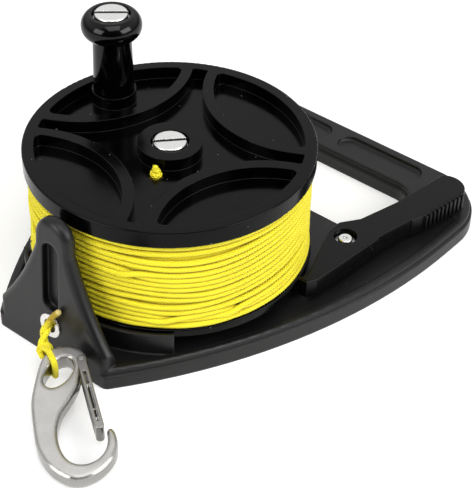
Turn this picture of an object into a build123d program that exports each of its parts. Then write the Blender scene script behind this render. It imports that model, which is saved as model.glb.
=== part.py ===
from build123d import *
import math
import os

# Dive reel with a triangular frame, a side-wound spool, a crank knob, a sprung thumb brake,
# a line guide post and a snap hook on the line's end.
# Millimetres. Origin: the spool axis where it meets the surface that the frame stands on.
# +X runs from the guide post to the grip bar, +Z is up, the frame is symmetric about Y = 0.

# Clearances and small overruns
overrun = 1.0
seat_gap = 0.3
running_gap = 0.05
fit_gap = 0.1

# Spool rims: the plan of the whole reel follows flange_radius
flange_radius = 55.0
lower_flange_inset = 0.3
lower_flange_radius = flange_radius - lower_flange_inset
winding_inset = 1.25
winding_radius = flange_radius - winding_inset

# Hand opening and grip bar, placed from the flange
opening_gap = 5.0
opening_near_x = flange_radius + opening_gap
opening_width = 36.2
opening_far_x = opening_near_x + opening_width
bar_width = 20.3
opening_half_length = 50.0
opening_corner_radius = 10.0
grip_pocket_count = 2
grip_pocket_length = 42.0
grip_pocket_width = 10.4
grip_pocket_pitch = 47.5
grip_pocket_depth = 1.7
grip_pocket_round_share = 0.8

# Frame outline
nose_gap = 11.7
nose_x = -(flange_radius + nose_gap)
nose_half_width = 27.2
nose_corner_radius = 3.5
side_gap = 21.8
frame_half_width = flange_radius + side_gap
frame_back_x = opening_far_x + bar_width
rear_corner_radius = 26.5
flank_straight = 9.9

# Frame heights
deck_height = 7.2
bead_rise = 1.0
bead_height = deck_height + bead_rise
skirt_drop = 1.6
skirt_height = deck_height - skirt_drop
skirt_ledge = 0.9
bead_width = 3.0
bead_round = 0.9
skirt_round = 0.8

# Underside coring
core_depth = 4.0
core_wall = 3.2
core_rib_width = 2.2
core_rib_count = 8
core_boss_radius = 14.0
core_pivot_boss_radius = 7.0
core_nose_wall = 8.0

# Axle seat in the frame, which carries the spool
frame_boss_radius = 11.5
frame_boss_rise = 4.8
frame_boss_top = deck_height + frame_boss_rise
thrust_washer_thickness = 0.8

# Spool
lower_flange_thickness = 3.6
lower_flange_top = frame_boss_top + thrust_washer_thickness + seat_gap + lower_flange_thickness
upper_flange_top = 62.2
upper_flange_thickness = 7.06
drum_radius = 10.3
drum_spigot_depth = 1.6
flange_round = 0.6
rim_ring_width = 4.5
pocket_depth = 5.0
pocket_count = 4
pocket_angle = -17.0
rib_centre_distance = 65.0
rib_outer_radius = 43.0
rib_width = 4.2
pocket_corner_radius = 2.4
channel_corner_radius = 1.0
centre_boss_radius = 12.2
centre_counterbore_radius = 7.3
centre_counterbore_depth = 3.2
line_hole_radius = 3.0
line_hole_distance = 15.7
line_hole_angle = 202.5

# Axle
axle_bolt_radius = 3.0
axle_head_radius = 6.4
axle_head_height = 2.6
axle_head_proud = 0.4
axle_slot_angle = -42.0
axle_washer_radius = 6.8
axle_washer_thickness = 0.8
axle_bush_radius = 4.5
axle_insert_radius = 4.4
axle_insert_floor = 1.2
axle_bolt_end_gap = 0.6

# Flange screws
flange_screw_count = 4
flange_screw_circle = 7.6
flange_screw_radius = 1.1
flange_screw_head_radius = 2.0
flange_screw_head_height = 1.2
flange_screw_length = 12.0

# Crank knob
knob_distance = 42.2
knob_angle = 73.0
knob_boss_radius = 8.7
sleeve_bottom_radius = 8.0
sleeve_top_radius = 7.5
sleeve_length = 23.2
knob_head_radius = 11.7
knob_head_height = 9.7
knob_head_lower_share = 0.46
knob_lower_curve_shares = (0.72, 0.33)
knob_upper_curve_shares = (0.9, 0.72)
knob_top_flat_radius = 8.6
knob_recess_radius = 7.45
knob_recess_depth = 2.6
knob_screw_head_radius = 6.5
knob_screw_head_height = 2.2
knob_screw_radius = 3.0
knob_slot_angle = -48.0
knob_bush_radius = 4.0
knob_washer_radius = 7.0
knob_washer_thickness = 0.6
knob_insert_radius = 4.4
knob_insert_floor = 1.0
knob_spigot_radius = 6.0
knob_spigot_depth = 2.0
screw_slot_width = 1.5
screw_slot_depth = 1.1
head_edge_round = 0.7

# Line
line_diameter = 2.2
winding_end_margin = 0.55
winding_least_gap = 0.48
winding_samples = 72
anchor_knot_radius = 2.7
anchor_sink_share = 0.35
arc_share = 0.45

# Guard lip
lip_gap = 1.0
lip_inner_radius = lower_flange_radius + lip_gap
lip_thickness = 1.5
lip_drop = 0.5
lip_top = lower_flange_top - lip_drop
lip_end_angle = 137.0

# Guide post
post_lean = 3.6
post_thickness = 5.6
post_flare_height = 13.5
post_neck_height = 47.6
post_neck_half_width = 8.6
post_side_bow = 1.8
post_head_radius = 8.4
post_top = 60.7
post_front_round = 2.7
post_rear_round = 2.0
slot_width = 8.0
slot_bottom = 21.4
slot_top = 51.5
slot_depth = 3.0

# Eyelet
eyelet_rise = 7.6
eyelet_height = deck_height + eyelet_rise
eyelet_flange_radius = 5.0
eyelet_hole_radius = 2.75
eyelet_wall = 0.5
eyelet_flange_thickness = 0.7
eyelet_washer_thickness = 0.4
eyelet_washer_radius = 4.3
eyelet_round_share = 0.45

# Brake lever, placed from its pivot
pivot_gap = 13.03
pivot_angle = -49.59
pivot_x = (flange_radius + pivot_gap) * math.cos(math.radians(pivot_angle))
pivot_y = (flange_radius + pivot_gap) * math.sin(math.radians(pivot_angle))
lever_boss_radius = 4.2
lever_boss_rise = 2.5
lever_boss_top = deck_height + lever_boss_rise
lever_bottom = lever_boss_top + seat_gap
lever_rise = 0.9
lever_top = lower_flange_top + lever_rise
lever_reach = 60.0
lever_depth = 19.0
lever_roof = 2.4
lever_wall = 1.7
lever_round = 0.6
lever_corner_radius = 3.4
lever_hub_radius = 4.2
lever_cup_radius = 6.1
lever_cup_floor = 1.2
lever_counterbore_radius = 4.65
lever_counterbore_depth = 3.4
thumb_rib_count = 10
thumb_rib_width = 1.1
thumb_rib_depth = 0.9
thumb_rib_drop = 0.7
lever_screw_head_radius = 2.85
lever_screw_head_height = 1.8
lever_screw_radius = 1.5
lever_socket_radius = 1.0
lever_socket_depth = 1.0
lever_washer_radius = 4.1
lever_washer_thickness = 0.6
lever_bush_radius = 2.9
lever_insert_radius = 2.6
lever_insert_floor = 1.2
lever_travel = 8.0
shoe_gap = 0.3

# Torsion spring under the lever
spring_wire = 0.8
spring_mean_radius = 4.95
spring_pitch = 0.85
spring_turns = 2.31
spring_leg = 8.0
spring_foot_hole_radius = 1.25
spring_foot_depth = 2.0
spring_lift_share = 0.65

# Snap hook, placed from the bottom of its bowl and lying on the surface
snap_gap = 41.51
snap_x = nose_x - snap_gap
snap_y = -53.895
snap_turn = 38.93
snap_tilt = 8.84
snap_length = 57.4
snap_width_share = 0.5512
snap_width = snap_length * snap_width_share
snap_thickness = 6.4
snap_floor_gap = 0.1
snap_round_share = 0.0209
snap_round = snap_length * snap_round_share
snap_corner_share = 0.0139
snap_corner_radius = snap_length * snap_corner_share
snap_eye_long_share = 0.2604
snap_eye_long = snap_length * snap_eye_long_share
snap_eye_short_share = 0.1585
snap_eye_short = snap_length * snap_eye_short_share
snap_eye_turn = 64.0
gate_width = 3.2
gate_sheet = 0.6
gate_web_start = 5.5
gate_web_width = 0.9
gate_cheek_gap = 0.15
gate_groove_width = 1.0
gate_groove_end = 7.1
gate_eye_length = 5.0
gate_eye_inset = 4.2
gate_travel = 14.0
gate_pin_radius = 0.8

# Shares of lever_reach and lever_depth, from the pivot, around the lever's outline
lever_tail_shares = [(-0.018, 0.384), (-0.187, 0.174), (-0.458, -0.153), (-0.537, -0.084),
                     (-0.532, -0.311), (-0.468, -0.405), (0.14, -0.563), (0.428, -0.737),
                     (0.498, -0.811), (0.915, -1.0)]
lever_end_shares = [(1.01, -0.663), (0.977, -0.30)]
lever_back_shares = [(0.515, -0.116), (0.215, 0.116), (0.092, 0.384)]
lever_notch_shares = [(0.115, -0.521), (0.423, -0.695), (0.43, -0.79), (0.30, -0.90), (0.145, -0.60)]
rib_start_share = 0.10
rib_end_share = 0.95

# Shares of snap_width and snap_length around the hook, from the bottom of the bowl
snap_outer_shares = [(0.312, 0.383), (0.352, 0.368), (0.395, 0.322), (0.416, 0.271), (0.409, 0.211),
                     (0.350, 0.134), (0.246, 0.064), (0.119, 0.018), (0.0, 0.003), (-0.157, 0.032),
                     (-0.278, 0.080), (-0.391, 0.156), (-0.470, 0.249), (-0.519, 0.358),
                     (-0.557, 0.459), (-0.582, 0.561), (-0.579, 0.667), (-0.560, 0.787),
                     (-0.519, 0.896), (-0.374, 0.985), (-0.267, 1.0), (-0.157, 0.990),
                     (-0.066, 0.958), (-0.015, 0.905), (-0.045, 0.845), (-0.068, 0.775)]
snap_inner_shares = [(-0.078, 0.710), (-0.115, 0.640), (-0.173, 0.563), (-0.222, 0.499),
                     (-0.250, 0.430), (-0.254, 0.350), (-0.216, 0.250), (-0.160, 0.184),
                     (-0.070, 0.132), (0.041, 0.116), (0.149, 0.131), (0.236, 0.170),
                     (0.290, 0.232), (0.301, 0.296), (0.284, 0.355)]
snap_eye_share = (-0.317, 0.782)
gate_hinge_share = (-0.079, 0.881)
gate_tip_share = (0.199, 0.3867)

# The line's route past the guard lip and its tail: corner points chosen by hand, in millimetres
lead_points = [(-41.8, 36.1, 21.0), (-48.1, 27.8, 20.9), (-53.2, 18.0, 20.8), (-57.3, 8.6, 20.6),
               (-58.3, 2.9, 20.0), (-58.35, 0.0, 17.9)]
lead_rear_depth = 7.6
lead_front_points = [(-70.0, -0.3, 13.7), (-71.8, -2.5, 12.2)]
tail_points = [(-72.9, -4.2, 15.2), (-69.9, -1.9, 16.9), (-67.6, -2.6, 18.9), (-66.7, -5.8, 23.9)]
knot_angle = 117.2
knot_reach = 13.7
knot_sink = 1.1
knot_radius = 2.6
knot_gap = 0.06
tail_rise = (0.35, 0.3, 0.9)
loop_rise = 1.55
loop_lift = 1.9
loop_corner = 1.7
loop_eye_gap = 1.6
loop_outer_reach = 11.2
loop_under_reach = 10.2


def spread(shares, width, height):
    """Turn a table of shares into points."""
    return [(width * u, height * v) for u, v in shares]


def disc(radius, thickness, z=0.0, x=0.0, y=0.0):
    """A round plate standing on height z."""
    return Pos(x, y, z) * extrude(Circle(radius), thickness)


def tube_ring(outer, inner, thickness, z=0.0, x=0.0, y=0.0):
    """A round plate with a hole."""
    return Pos(x, y, z) * extrude(Circle(outer) - Circle(inner), thickness)


def slotted_screw(head_radius, head_height, shank_radius, shank_length, slot_angle):
    """Screw with a slotted head; the head's underside is at height zero."""
    head = extrude(Circle(head_radius), head_height)
    head = fillet(head.edges().group_by(Axis.Z)[-1], head_edge_round)
    slot = Pos(0, 0, head_height - screw_slot_depth + overrun) * Rot(0, 0, slot_angle) * Box(
        head_radius * 2 + overrun, screw_slot_width, overrun * 2)
    return head - slot + disc(shank_radius, shank_length, -shank_length)


def cord_tube(points, diameter):
    """Round cord along straight runs joined by tangent arcs."""
    corners = [Vector(*p) for p in points]
    radii = []
    for before, here, after in zip(corners, corners[1:], corners[2:]):
        arriving = here - before
        leaving = after - here
        shorter = min(arriving.length, leaving.length)
        turn = math.radians(arriving.get_angle(leaving))
        radii.append(arc_share * shorter / math.tan(turn / 2))
    path = FilletPolyline(*corners, radius=radii)
    section = Plane(corners[0], z_dir=corners[1] - corners[0]) * Circle(diameter / 2)
    tube = sweep(section, path=path)
    expected = math.pi * diameter ** 2 / 4 * path.length
    print("cord", "length", round(path.length, 1), "volume ratio", round(tube.volume / expected, 4),
          "radii", [round(r, 1) for r in radii])
    return tube


def frame_outline():
    """The triangular plate's outline, filled."""
    rise = frame_half_width - nose_half_width
    peak_x = frame_back_x - rear_corner_radius - flank_straight
    run = peak_x - nose_x
    flank_radius = (run * run + rise * rise) / (2 * rise)
    half = math.atan2(peak_x - nose_x, flank_radius - rise) / 2
    bow_x = peak_x - flank_radius * math.sin(half)
    bow_y = frame_half_width - flank_radius * (1 - math.cos(half))
    edges = [
        Line((nose_x, -nose_half_width), (nose_x, nose_half_width)),
        ThreePointArc((nose_x, nose_half_width), (bow_x, bow_y), (peak_x, frame_half_width)),
        Line((peak_x, frame_half_width), (frame_back_x, frame_half_width)),
        Line((frame_back_x, frame_half_width), (frame_back_x, -frame_half_width)),
        Line((frame_back_x, -frame_half_width), (peak_x, -frame_half_width)),
        ThreePointArc((peak_x, -frame_half_width), (bow_x, -bow_y), (nose_x, -nose_half_width)),
    ]
    face = make_face(edges)
    corners = face.vertices().group_by(Axis.X)
    face = fillet(corners[-1], rear_corner_radius)
    return fillet(face.vertices().group_by(Axis.X)[0], nose_corner_radius)


def opening_shape(grow=0.0):
    """The hand opening in plan, grown on every side."""
    length_x = opening_far_x - opening_near_x + 2 * grow
    centre_x = (opening_far_x + opening_near_x) / 2
    return Pos(centre_x, 0) * RectangleRounded(
        length_x, 2 * (opening_half_length + grow), opening_corner_radius + grow)


def post_slab(front_offset, back_offset):
    """A slab that leans like the post, between two offsets from its front face."""
    lean = math.tan(math.radians(post_lean))
    low = -overrun * 2
    high = post_top + overrun * 2
    corners = [(nose_x + front_offset + low * lean, low), (nose_x + back_offset + low * lean, low),
               (nose_x + back_offset + high * lean, high), (nose_x + front_offset + high * lean, high)]
    face = Plane.XZ * make_face(Polyline(*corners, close=True))
    return extrude(face, nose_half_width * 2, both=True)


def guide_post():
    """Leaning plate with bowed edges and a round head."""
    head_z = post_top - post_head_radius
    mid_y = (nose_half_width + post_neck_half_width) / 2 - post_side_bow
    mid_z = (post_flare_height + post_neck_height) / 2
    edges = []
    for side in (1, -1):
        edges.append(Line((side * nose_half_width, 0), (side * nose_half_width, post_flare_height)))
        edges.append(ThreePointArc((side * nose_half_width, post_flare_height), (side * mid_y, mid_z),
                                   (side * post_neck_half_width, post_neck_height)))
        edges.append(Line((side * post_neck_half_width, post_neck_height),
                          (side * post_head_radius, head_z)))
    edges.append(ThreePointArc((post_head_radius, head_z), (0, post_top), (-post_head_radius, head_z)))
    edges.append(Line((-nose_half_width, 0), (nose_half_width, 0)))
    outline = Plane.YZ * make_face(edges)
    block = Pos(nose_x - 2 * overrun, 0, 0) * extrude(outline, post_thickness * 3)
    post = block & post_slab(0, post_thickness)
    broad = post.faces().sort_by(SortBy.AREA)[-2:].sort_by(Axis.X)
    front = [e for e in broad[0].edges() if e.center().Z > overrun]
    post = fillet(front, post_front_round)
    broad = post.faces().sort_by(SortBy.AREA)[-2:].sort_by(Axis.X)
    rear = [e for e in broad[1].edges() if e.center().Z > post_flare_height]
    return fillet(rear, post_rear_round)


def lens_pocket(angle):
    """One lens-shaped pocket of the upper flange, seen from above."""
    reach = rib_outer_radius - rib_width
    lens = Pos(rib_centre_distance, 0) * Circle(reach) & Circle(flange_radius - rim_ring_width)
    return Rot(0, 0, angle) * fillet(lens.vertices(), pocket_corner_radius)


def star_pocket():
    """The star-shaped pocket left between the four arc ribs."""
    star = Circle(flange_radius - rim_ring_width)
    for k in range(pocket_count):
        star -= Rot(0, 0, pocket_angle + 360 / pocket_count * k) * Pos(rib_centre_distance, 0) * Circle(
            rib_outer_radius)
    star = fillet(star.vertices(), channel_corner_radius)
    return star - Circle(centre_boss_radius)


def knob_place():
    """Where the knob's axis stands on the upper flange."""
    turn = math.radians(knob_angle)
    return knob_distance * math.cos(turn), knob_distance * math.sin(turn)


def line_hole_place():
    """Where the line's inner end comes up through the upper flange."""
    turn = math.radians(line_hole_angle)
    return line_hole_distance * math.cos(turn), line_hole_distance * math.sin(turn)


def guard_lip():
    """Low wall around the lower flange, between the spool and the post."""
    ring = Circle(lip_inner_radius + lip_thickness) - Circle(lip_inner_radius)
    reach = (lip_inner_radius + lip_thickness) * 2
    turn = math.radians(lip_end_angle)
    tip = (reach * math.cos(turn), reach * math.sin(turn))
    wedge = make_face(Polyline((0, 0), tip, (-reach, tip[1]), (-reach, -tip[1]), (tip[0], -tip[1]),
                               close=True))
    wall = extrude(ring & wedge, lip_top - deck_height + overrun)
    return Pos(0, 0, deck_height - overrun) * wall


def underside_core():
    """The hollows moulded into the plate's underside, as one tool."""
    region = offset(frame_outline(), -core_wall)
    bar_side = opening_far_x - core_wall
    keep = Pos((nose_x + core_nose_wall + bar_side) / 2, 0) * Rectangle(
        bar_side - nose_x - core_nose_wall, frame_half_width * 2)
    region = region & keep
    region -= opening_shape(core_wall)
    region -= Circle(core_boss_radius)
    region -= Pos(pivot_x, pivot_y) * Circle(core_pivot_boss_radius)
    for k in range(core_rib_count):
        region -= Rot(0, 0, 180 / core_rib_count * 2 * k + 180 / core_rib_count) * Pos(
            frame_back_x, 0) * Rectangle(frame_back_x * 2, core_rib_width)
    return Pos(0, 0, -overrun) * extrude(region, core_depth + overrun)


def grip_pockets():
    """Long shallow finger pockets along the grip bar's top."""
    centre_x = (opening_far_x + frame_back_x) / 2
    tools = []
    for k in range(grip_pocket_count):
        y = (k - (grip_pocket_count - 1) / 2) * grip_pocket_pitch
        shape = Rot(0, 0, 90) * SlotOverall(grip_pocket_length, grip_pocket_width)
        tool = Pos(centre_x, y, bead_height - grip_pocket_depth) * extrude(shape, overrun * 2)
        tools.append(fillet(tool.edges().group_by(Axis.Z)[0], grip_pocket_depth * grip_pocket_round_share))
    return tools


def make_frame():
    """The moulded frame: plate, bead, grip bar, boss, guard lip and guide post."""
    outline = frame_outline()
    skirt = extrude(outline - opening_shape(), skirt_height)
    upper_outline = offset(outline, -skirt_ledge) - opening_shape(skirt_ledge)
    upper = extrude(upper_outline, bead_height)
    upper = fillet(upper.edges().group_by(Axis.Z)[-1], bead_round)
    body = skirt + upper
    bar_front = opening_far_x - core_wall
    well = offset(outline, -skirt_ledge - bead_width)
    well &= Pos(bar_front - frame_back_x, 0) * Rectangle(frame_back_x * 2, frame_half_width * 2)
    body -= Pos(0, 0, deck_height) * extrude(well, overrun * 2)
    body -= underside_core()
    for tool in grip_pockets():
        body -= tool
    body += disc(frame_boss_radius, frame_boss_top - skirt_height, skirt_height)
    body += disc(lever_boss_radius, lever_boss_top - skirt_height, skirt_height, pivot_x, pivot_y)
    body += guard_lip()
    body += guide_post()
    body -= post_slab(-post_thickness, 0)
    body -= post_slot()
    body -= eyelet_bore(eyelet_hole_radius + eyelet_wall + fit_gap, post_thickness * 2, -overrun * 2)
    body -= disc(axle_insert_radius + running_gap, frame_boss_top, axle_insert_floor)
    body -= disc(lever_insert_radius + running_gap, lever_boss_top, lever_insert_floor, pivot_x, pivot_y)
    foot_x, foot_y = spring_foot_place()
    body -= disc(spring_foot_hole_radius, spring_foot_depth + overrun, deck_height - spring_foot_depth,
                 foot_x, foot_y)
    return body


def post_slot():
    """The blind slot down the post's front face."""
    height = slot_top - slot_bottom
    middle = Pos(0, (slot_top + slot_bottom) / 2) * Rot(0, 0, 90)
    shape = Plane.YZ * (middle * SlotOverall(height, slot_width))
    bar = Pos(nose_x - post_thickness, 0, 0) * extrude(shape, post_thickness * 4)
    return bar & post_slab(-post_thickness, slot_depth)


def eyelet_plane(depth=0.0):
    """Plane on the post's front face at the eyelet, facing out; depth goes into the post."""
    lean = math.radians(post_lean)
    out = Vector(-math.cos(lean), 0, math.sin(lean))
    face_x = nose_x + eyelet_height * math.tan(lean)
    return Plane(Vector(face_x, 0, eyelet_height) - out * depth, x_dir=(0, 1, 0), z_dir=out)


def eyelet_bore(radius, length, start):
    """A round bar along the eyelet's axis, from a depth below the post's front face."""
    return eyelet_plane(start + length) * extrude(Circle(radius), length)


def make_eyelet():
    """Barrel and front flange, with a rolled edge."""
    length = post_thickness + eyelet_washer_thickness + eyelet_flange_thickness
    flange = eyelet_plane() * extrude(Circle(eyelet_flange_radius), eyelet_flange_thickness)
    barrel = eyelet_bore(eyelet_hole_radius + eyelet_wall, length, -eyelet_flange_thickness)
    bore = eyelet_bore(eyelet_hole_radius, length + overrun * 2, -eyelet_flange_thickness - overrun)
    body = flange + barrel - bore
    face = eyelet_plane(-eyelet_flange_thickness)
    front = [e for e in body.edges().filter_by(GeomType.CIRCLE)
             if abs((e.arc_center - face.origin).dot(face.z_dir)) < running_gap]
    return fillet(front, eyelet_flange_thickness * eyelet_round_share)


def make_eyelet_washer():
    """Back washer that the eyelet's barrel is rolled over."""
    ring = Circle(eyelet_washer_radius) - Circle(eyelet_hole_radius + eyelet_wall + running_gap)
    return eyelet_plane(post_thickness + eyelet_washer_thickness) * extrude(ring, eyelet_washer_thickness)


def make_spool_upper():
    """Upper flange with its pockets and arc ribs, and the drum below it."""
    underside = upper_flange_top - upper_flange_thickness
    flange = disc(flange_radius, upper_flange_thickness, underside)
    flange = fillet(flange.edges().filter_by(GeomType.CIRCLE), flange_round)
    pockets = star_pocket()
    for k in range(pocket_count):
        pockets += lens_pocket(pocket_angle + 360 / pocket_count * k)
    x, y = knob_place()
    pockets -= Pos(x, y) * Circle(knob_boss_radius)
    flange -= Pos(0, 0, upper_flange_top - pocket_depth) * extrude(pockets, pocket_depth + overrun)
    drum_bottom = lower_flange_top - drum_spigot_depth
    body = flange + disc(drum_radius, underside - drum_bottom + overrun, drum_bottom)
    body -= disc(axle_bush_radius + running_gap, upper_flange_top, drum_bottom - overrun)
    body -= disc(centre_counterbore_radius, centre_counterbore_depth + overrun,
                 upper_flange_top - centre_counterbore_depth)
    hole_x, hole_y = line_hole_place()
    body -= disc(line_hole_radius, upper_flange_thickness + overrun * 2, underside - overrun,
                 hole_x, hole_y)
    body -= disc(knob_insert_radius + running_gap, upper_flange_thickness,
                 underside + knob_insert_floor, x, y)
    for place in flange_screw_places():
        body -= disc(flange_screw_radius + running_gap, flange_screw_length, drum_bottom - overrun, *place)
    return body


def flange_screw_places():
    """Where the screws that join the two spool mouldings stand."""
    step = 2 * math.pi / flange_screw_count
    return [(flange_screw_circle * math.cos(step * k), flange_screw_circle * math.sin(step * k))
            for k in range(flange_screw_count)]


def make_spool_lower():
    """Lower flange disc with the socket for the drum's end."""
    bottom = lower_flange_top - lower_flange_thickness
    body = disc(lower_flange_radius, lower_flange_thickness, bottom)
    body = fillet(body.edges().filter_by(GeomType.CIRCLE), flange_round)
    body -= disc(drum_radius + running_gap, drum_spigot_depth + overrun,
                 lower_flange_top - drum_spigot_depth - running_gap)
    body -= disc(axle_bush_radius + running_gap, lower_flange_thickness + overrun * 2, bottom - overrun)
    for place in flange_screw_places():
        body -= disc(flange_screw_radius + running_gap, lower_flange_thickness + overrun, bottom, *place)
        body -= disc(flange_screw_head_radius + running_gap, flange_screw_head_height + overrun,
                     bottom - overrun, *place)
    return body


def make_flange_screws():
    """Four small screws from below, as separate solids."""
    bottom = lower_flange_top - lower_flange_thickness
    screws = []
    for x, y in flange_screw_places():
        head = disc(flange_screw_head_radius, flange_screw_head_height - fit_gap, bottom + fit_gap, x, y)
        top = drum_bottom_reach() - fit_gap
        screws.append(head + disc(flange_screw_radius, top - bottom - fit_gap, bottom + fit_gap, x, y))
    return screws


def drum_bottom_reach():
    """Height that the flange screws' holes reach in the drum."""
    return lower_flange_top - drum_spigot_depth - overrun + flange_screw_length


def make_axle_bolt():
    """Slotted bolt down through the spool into the frame."""
    underside = upper_flange_top + axle_head_proud - axle_head_height
    length = underside - axle_insert_floor - axle_bolt_end_gap
    return Pos(0, 0, underside) * slotted_screw(axle_head_radius, axle_head_height, axle_bolt_radius,
                                                length, axle_slot_angle)


def make_axle_insert():
    """Threaded insert moulded into the frame's boss."""
    return tube_ring(axle_insert_radius, axle_bolt_radius + running_gap, frame_boss_top - axle_insert_floor,
                     axle_insert_floor)


def make_axle_washer():
    """Washer between the bolt's head and the bush."""
    top = upper_flange_top + axle_head_proud - axle_head_height
    return tube_ring(axle_washer_radius, axle_bolt_radius + running_gap, axle_washer_thickness,
                     top - axle_washer_thickness)


def make_axle_bush():
    """Metal sleeve that the spool turns on, clamped between the washer and the frame's boss."""
    top = upper_flange_top + axle_head_proud - axle_head_height - axle_washer_thickness
    return tube_ring(axle_bush_radius, axle_bolt_radius + running_gap, top - frame_boss_top, frame_boss_top)


def make_thrust_washer():
    """Slippery washer between the frame's boss and the spool."""
    return tube_ring(frame_boss_radius - overrun, axle_bush_radius + running_gap, thrust_washer_thickness,
                     frame_boss_top)


def make_knob_sleeve():
    """Tapered grip sleeve of the crank knob."""
    x, y = knob_place()
    foot = upper_flange_top + seat_gap
    shell = loft([Circle(sleeve_bottom_radius), Pos(0, 0, sleeve_length) * Circle(sleeve_top_radius)])
    shell = fillet(shell.edges().group_by(Axis.Z)[0], flange_round)
    shell -= disc(knob_bush_radius + running_gap, sleeve_length + overrun * 2, -overrun)
    shell -= disc(knob_spigot_radius + fit_gap, knob_spigot_depth + overrun,
                  sleeve_length - knob_spigot_depth - fit_gap)
    return Pos(x, y, foot) * shell


def make_knob_head():
    """Flattened ball on top of the sleeve, with the screw's recess."""
    x, y = knob_place()
    base = upper_flange_top + seat_gap + sleeve_length
    belly = knob_head_height * knob_head_lower_share
    low_x = sleeve_top_radius + (knob_head_radius - sleeve_top_radius) * knob_lower_curve_shares[0]
    low_z = belly * knob_lower_curve_shares[1]
    high_x = knob_head_radius * knob_upper_curve_shares[0]
    high_z = belly + (knob_head_height - belly) * knob_upper_curve_shares[1]
    profile = [
        Line((0, 0), (sleeve_top_radius, 0)),
        ThreePointArc((sleeve_top_radius, 0), (low_x, low_z), (knob_head_radius, belly)),
        ThreePointArc((knob_head_radius, belly), (high_x, high_z),
                      (knob_top_flat_radius, knob_head_height)),
        Line((knob_top_flat_radius, knob_head_height), (0, knob_head_height)),
        Line((0, knob_head_height), (0, 0)),
    ]
    ball = revolve(Plane.XZ * make_face(profile), Axis.Z)
    ball += disc(knob_spigot_radius, knob_spigot_depth + overrun, -knob_spigot_depth)
    ball -= disc(knob_bush_radius + running_gap, knob_head_height + knob_spigot_depth + overrun * 2,
                 -knob_spigot_depth - overrun)
    ball -= disc(knob_recess_radius, knob_recess_depth + overrun, knob_head_height - knob_recess_depth)
    return Pos(x, y, base) * ball


def knob_screw_seat():
    """Height of the knob screw head's underside."""
    top = upper_flange_top + seat_gap + sleeve_length + knob_head_height
    return top - knob_recess_depth + seat_gap + knob_washer_thickness


def make_knob_screw():
    """Slotted screw that holds the knob on its bush."""
    x, y = knob_place()
    seat = knob_screw_seat()
    length = seat - (upper_flange_top - upper_flange_thickness + knob_insert_floor) - fit_gap
    return Pos(x, y, seat) * slotted_screw(knob_screw_head_radius, knob_screw_head_height,
                                           knob_screw_radius, length, knob_slot_angle)


def make_knob_washer():
    """Washer under the knob screw's head."""
    x, y = knob_place()
    return tube_ring(knob_washer_radius, knob_screw_radius + running_gap, knob_washer_thickness,
                     knob_screw_seat() - knob_washer_thickness, x, y)


def make_knob_bush():
    """Metal sleeve that the knob turns on."""
    x, y = knob_place()
    top = knob_screw_seat() - knob_washer_thickness
    return tube_ring(knob_bush_radius, knob_screw_radius + running_gap, top - upper_flange_top,
                     upper_flange_top, x, y)


def make_knob_insert():
    """Threaded insert in the upper flange's boss."""
    x, y = knob_place()
    low = upper_flange_top - upper_flange_thickness + knob_insert_floor
    return tube_ring(knob_insert_radius, knob_screw_radius + running_gap, upper_flange_top - low, low, x, y)


def make_line_core():
    """The inner layers of wound line, as one plain drum."""
    low = lower_flange_top
    height = upper_flange_top - upper_flange_thickness - low
    outer = winding_radius - line_diameter - running_gap
    return tube_ring(outer, drum_radius, height, low)


def winding_point(turns, radius, low, pitch):
    """A point of the winding's helix and its unit direction."""
    angle = 2 * math.pi * turns
    point = Vector(radius * math.cos(angle), radius * math.sin(angle), low + pitch * turns)
    along = Vector(-radius * math.sin(angle), radius * math.cos(angle), pitch / (2 * math.pi))
    return point, along.normalized()


def biarc(start, start_dir, end, end_dir):
    """Two arcs that leave and arrive along the given directions."""
    chord = end - start
    both = start_dir + end_dir
    bend = 2 * (1 - start_dir.dot(end_dir))
    reach = (-chord.dot(both) + math.sqrt(chord.dot(both) ** 2 + bend * chord.dot(chord))) / bend
    first = start + start_dir * reach
    second = end - end_dir * reach
    joint = (first + second) * 0.5
    joint_dir = (second - first).normalized()
    return [TangentArc(start, joint, tangent=start_dir), TangentArc(joint, end, tangent=joint_dir)]


def make_line_winding():
    """The outer layer of turns: one unbroken tube of line."""
    radius = winding_radius - line_diameter / 2
    low = lower_flange_top + line_diameter / 2 + winding_end_margin
    high = upper_flange_top - upper_flange_thickness - line_diameter / 2 - winding_end_margin
    winding_turns = math.floor((high - low) / (line_diameter + winding_least_gap))
    pitch = (high - low) / winding_turns
    edges = []
    quarters = winding_turns * 4
    for k in range(quarters):
        a, a_dir = winding_point(k / 4, radius, low, pitch)
        b, b_dir = winding_point((k + 1) / 4, radius, low, pitch)
        edges += biarc(a, a_dir, b, b_dir)
    start, start_dir = winding_point(0, radius, low, pitch)
    end, end_dir = winding_point(winding_turns, radius, low, pitch)
    first = start - start_dir * line_diameter
    path = Wire([Line(first, start)] + edges + [Line(end, end + end_dir * line_diameter)])
    tube = sweep(Plane(first, z_dir=start_dir) * Circle(line_diameter / 2), path=path)
    gaps = []
    for i in range(winding_samples):
        here = winding_point(i / winding_samples, radius, low, pitch)[0]
        for j in range(-winding_samples // 8, winding_samples // 8):
            there = winding_point(1 + (i + j) / winding_samples, radius, low, pitch)[0]
            gaps.append((there - here).length - line_diameter)
    print("winding turns", winding_turns, "pitch", round(pitch, 3), "least gap to itself", round(min(gaps), 3),
          "length", round(path.length / 1000, 3), "m")
    return tube


def make_line_anchor():
    """The line's inner end, up through the upper flange and knotted."""
    x, y = line_hole_place()
    low = upper_flange_top - upper_flange_thickness
    floor = upper_flange_top - pocket_depth
    stem = disc(line_diameter / 2, floor - low, low, x, y)
    return stem + Pos(x, y, floor + anchor_knot_radius * anchor_sink_share) * Sphere(anchor_knot_radius)


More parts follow.
